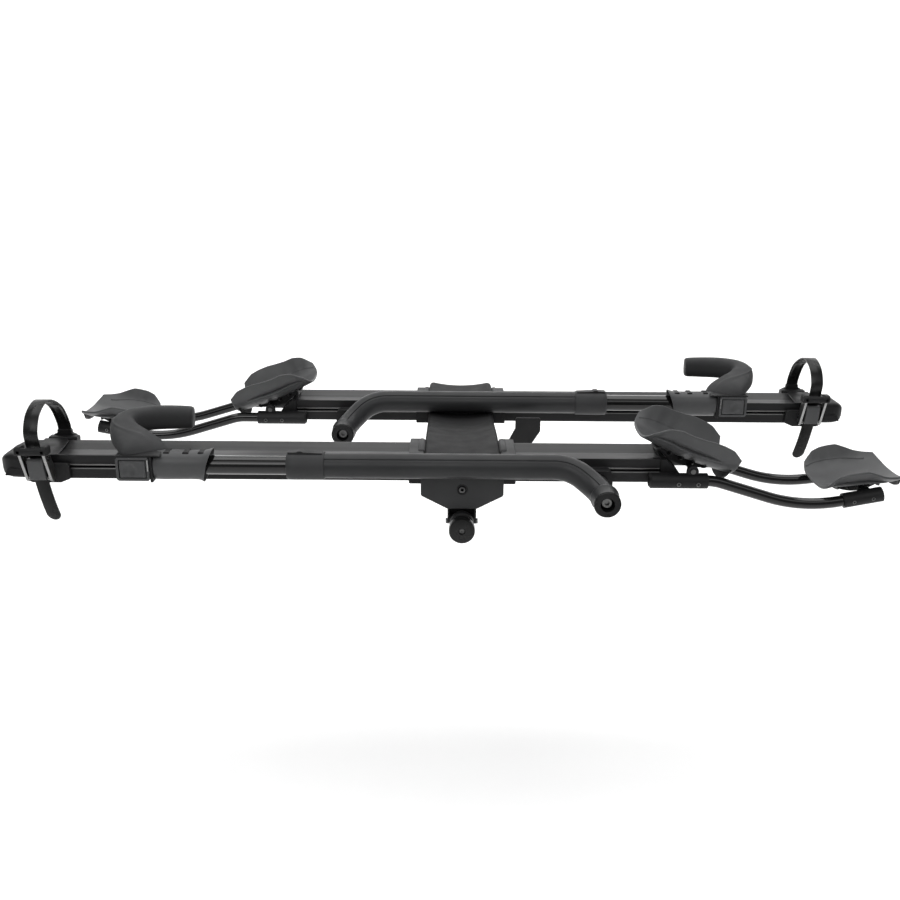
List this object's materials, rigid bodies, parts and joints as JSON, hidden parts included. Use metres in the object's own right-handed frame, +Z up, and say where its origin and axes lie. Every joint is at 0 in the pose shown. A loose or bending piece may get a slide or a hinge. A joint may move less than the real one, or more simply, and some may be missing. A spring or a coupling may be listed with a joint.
{
  "type": "hitch mounted bike rack",
  "caption": "Platform rack for a square hitch receiver: trays with wheel straps, wheel cradles and swinging hook arms on a tilting beam",
  "frame": {"origin": "centre of the hitch pin hole, on the middle line of the square shank", "axes": "+X to the right seen from behind the car, along the trays; +Y towards the car, out of the shank's open end; +Z up"},
  "size_m": [1.496, 0.887, 0.2409],
  "materials": {
    "black_powder_coat": "satin black powder coat over steel, worn at the edges",
    "grey_powder_coat": "fine-textured dark grey powder coat",
    "gloss_black_rod": "gloss black paint on steel tube and bar",
    "black_anodised": "black anodised extrusion with faint draw lines",
    "zinc_steel": "dark zinc-plated steel",
    "bright_steel": "bright stainless plate",
    "grey_moulding": "fine-grained dark grey nylon moulding",
    "satin_grey_moulding": "satin dark grey nylon moulding",
    "black_moulding": "black glass-filled nylon",
    "black_rubber": "glossy black elastomer, scuffed",
    "grey_rubber": "dull dark grey rubber",
    "white_acetal": "turned acetal"
  },
  "bodies": {
    "hitch": {"hitch_shank": "black_powder_coat", "pivot_bracket": "black_powder_coat", "tilt_bolt": "zinc_steel"},
    "frame": {"beam": "black_powder_coat", "beam_shroud": "grey_moulding", "beam_hump": "grey_moulding", "end_plate": "grey_moulding", "end_plate_screw": "zinc_steel", "lever_pin": "zinc_steel", "outer_tray_rail": "black_anodised", "outer_tray_saddle": "grey_moulding", "outer_tray_nose": "black_moulding", "outer_cradle_yoke": "black_moulding", "outer_cradle_rods": "gloss_black_rod", "outer_rod_clamps": "black_moulding", "outer_chock_axles": "zinc_steel", "outer_arm_bracket": "black_moulding", "outer_arm_bolt": "zinc_steel", "inner_tray_rail": "black_anodised", "inner_tray_saddle": "grey_moulding", "inner_tray_nose": "black_moulding", "inner_cradle_yoke": "black_moulding", "inner_cradle_rods": "gloss_black_rod", "inner_rod_clamps": "black_moulding", "inner_chock_axles": "zinc_steel", "inner_arm_bracket": "black_moulding", "inner_arm_bolt": "zinc_steel"},
    "rear_lever": {"rear_lever": "black_powder_coat", "rear_grip": "black_rubber", "rear_grip_screw": "zinc_steel"},
    "lock_rod": {"lock_rod": "zinc_steel"},
    "pedal": {"release_pedal": "black_powder_coat"},
    "outer_arm": {"outer_arm_tube": "grey_powder_coat", "outer_arm_bushes": "white_acetal", "outer_arm_plug": "black_moulding", "outer_arm_collar": "black_moulding"},
    "outer_hook": {"outer_hook_tube": "gloss_black_rod", "outer_hook_housing": "satin_grey_moulding", "outer_hook_pad": "grey_rubber"},
    "outer_button": {"outer_hook_button": "satin_grey_moulding"},
    "outer_strap": {"outer_strap_carriage": "black_moulding", "outer_strap_buckle": "bright_steel", "outer_wheel_strap": "black_rubber"},
    "outer_buckle_lever": {"outer_buckle_lever": "satin_grey_moulding"},
    "outer_inner_chock": {"outer_inner_chock": "satin_grey_moulding"},
    "outer_outer_chock": {"outer_outer_chock": "satin_grey_moulding"},
    "inner_arm": {"inner_arm_tube": "grey_powder_coat", "inner_arm_bushes": "white_acetal", "inner_arm_plug": "black_moulding", "inner_arm_collar": "black_moulding"},
    "inner_hook": {"inner_hook_tube": "gloss_black_rod", "inner_hook_housing": "satin_grey_moulding", "inner_hook_pad": "grey_rubber"},
    "inner_button": {"inner_hook_button": "satin_grey_moulding"},
    "inner_strap": {"inner_strap_carriage": "black_moulding", "inner_strap_buckle": "bright_steel", "inner_wheel_strap": "black_rubber"},
    "inner_buckle_lever": {"inner_buckle_lever": "satin_grey_moulding"},
    "inner_inner_chock": {"inner_inner_chock": "satin_grey_moulding"},
    "inner_outer_chock": {"inner_outer_chock": "satin_grey_moulding"}
  },
  "joints": [
    {"name": "beam_tilt", "type": "hinge", "parent": "hitch", "child": "frame", "pos_m": [0, -0.205, 0.034], "axis": [-1, 0, 0], "range_deg": [-28, 90]},
    {"name": "rear_lever_press", "type": "hinge", "parent": "frame", "child": "rear_lever", "pos_m": [0, -0.702, 0.018], "axis": [1, 0, 0], "range_deg": [0, 12], "stiffness_Nm_per_rad": 8, "springref_deg": -5.73},
    {"name": "lock_rod_slide", "type": "slide", "parent": "frame", "child": "lock_rod", "axis": [0, -1, 0], "range_m": [0, 0.01]},
    {"name": "pedal_press", "type": "hinge", "parent": "frame", "child": "pedal", "pos_m": [0, -0.47, 0.066], "axis": [1, 0, 0], "range_deg": [0, 12]},
    {"name": "outer_arm_swing", "type": "hinge", "parent": "frame", "child": "outer_arm", "pos_m": [0.217, -0.77, 0.096], "axis": [0, 1, 0], "range_deg": [0, 92]},
    {"name": "outer_hook_slide", "type": "slide", "parent": "outer_arm", "child": "outer_hook", "axis": [1, 0, 0], "range_m": [-0.065, 0.115]},
    {"name": "outer_hook_button_press", "type": "slide", "parent": "outer_hook", "child": "outer_button", "axis": [0, 1, 0], "range_m": [0, 0.004], "stiffness_N_per_m": 400, "springref_m": -0.002},
    {"name": "outer_strap_slide", "type": "slide", "parent": "frame", "child": "outer_strap", "axis": [1, 0, 0], "range_m": [0, 0.065]},
    {"name": "outer_buckle_flip", "type": "hinge", "parent": "outer_strap", "child": "outer_buckle_lever", "pos_m": [-0.672, -0.736, 0.128], "axis": [-1, 0, 0], "range_deg": [0, 60], "stiffness_Nm_per_rad": 0.05, "springref_deg": -17.19},
    {"name": "outer_inner_chock_rock", "type": "hinge", "parent": "frame", "child": "outer_inner_chock", "pos_m": [0.366, -0.67, 0.116], "axis": [0, -1, 0], "range_deg": [0, 9]},
    {"name": "outer_outer_chock_rock", "type": "hinge", "parent": "frame", "child": "outer_outer_chock", "pos_m": [0.64795, -0.67, 0.07924], "axis": [0, 1, 0], "range_deg": [0, 15]},
    {"name": "inner_arm_swing", "type": "hinge", "parent": "frame", "child": "inner_arm", "pos_m": [-0.217, -0.43, 0.096], "axis": [0, -1, 0], "range_deg": [0, 92]},
    {"name": "inner_hook_slide", "type": "slide", "parent": "inner_arm", "child": "inner_hook", "axis": [-1, 0, 0], "range_m": [-0.065, 0.115]},
    {"name": "inner_hook_button_press", "type": "slide", "parent": "inner_hook", "child": "inner_button", "axis": [0, 1, 0], "range_m": [0, 0.004], "stiffness_N_per_m": 400, "springref_m": -0.002},
    {"name": "inner_strap_slide", "type": "slide", "parent": "frame", "child": "inner_strap", "axis": [-1, 0, 0], "range_m": [0, 0.065]},
    {"name": "inner_buckle_flip", "type": "hinge", "parent": "inner_strap", "child": "inner_buckle_lever", "pos_m": [0.672, -0.396, 0.128], "axis": [-1, 0, 0], "range_deg": [0, 60], "stiffness_Nm_per_rad": 0.05, "springref_deg": -17.19},
    {"name": "inner_inner_chock_rock", "type": "hinge", "parent": "frame", "child": "inner_inner_chock", "pos_m": [-0.366, -0.33, 0.116], "axis": [0, 1, 0], "range_deg": [0, 9]},
    {"name": "inner_outer_chock_rock", "type": "hinge", "parent": "frame", "child": "inner_outer_chock", "pos_m": [-0.67495, -0.33, 0.07924], "axis": [0, -1, 0], "range_deg": [0, 15]}
  ],
  "couplings": [
    {"joint": "lock_rod_slide", "follows": "rear_lever_press", "m_per_rad": 0.04},
    {"joint": "pedal_press", "follows": "rear_lever_press", "ratio": 0.9}
  ]
}
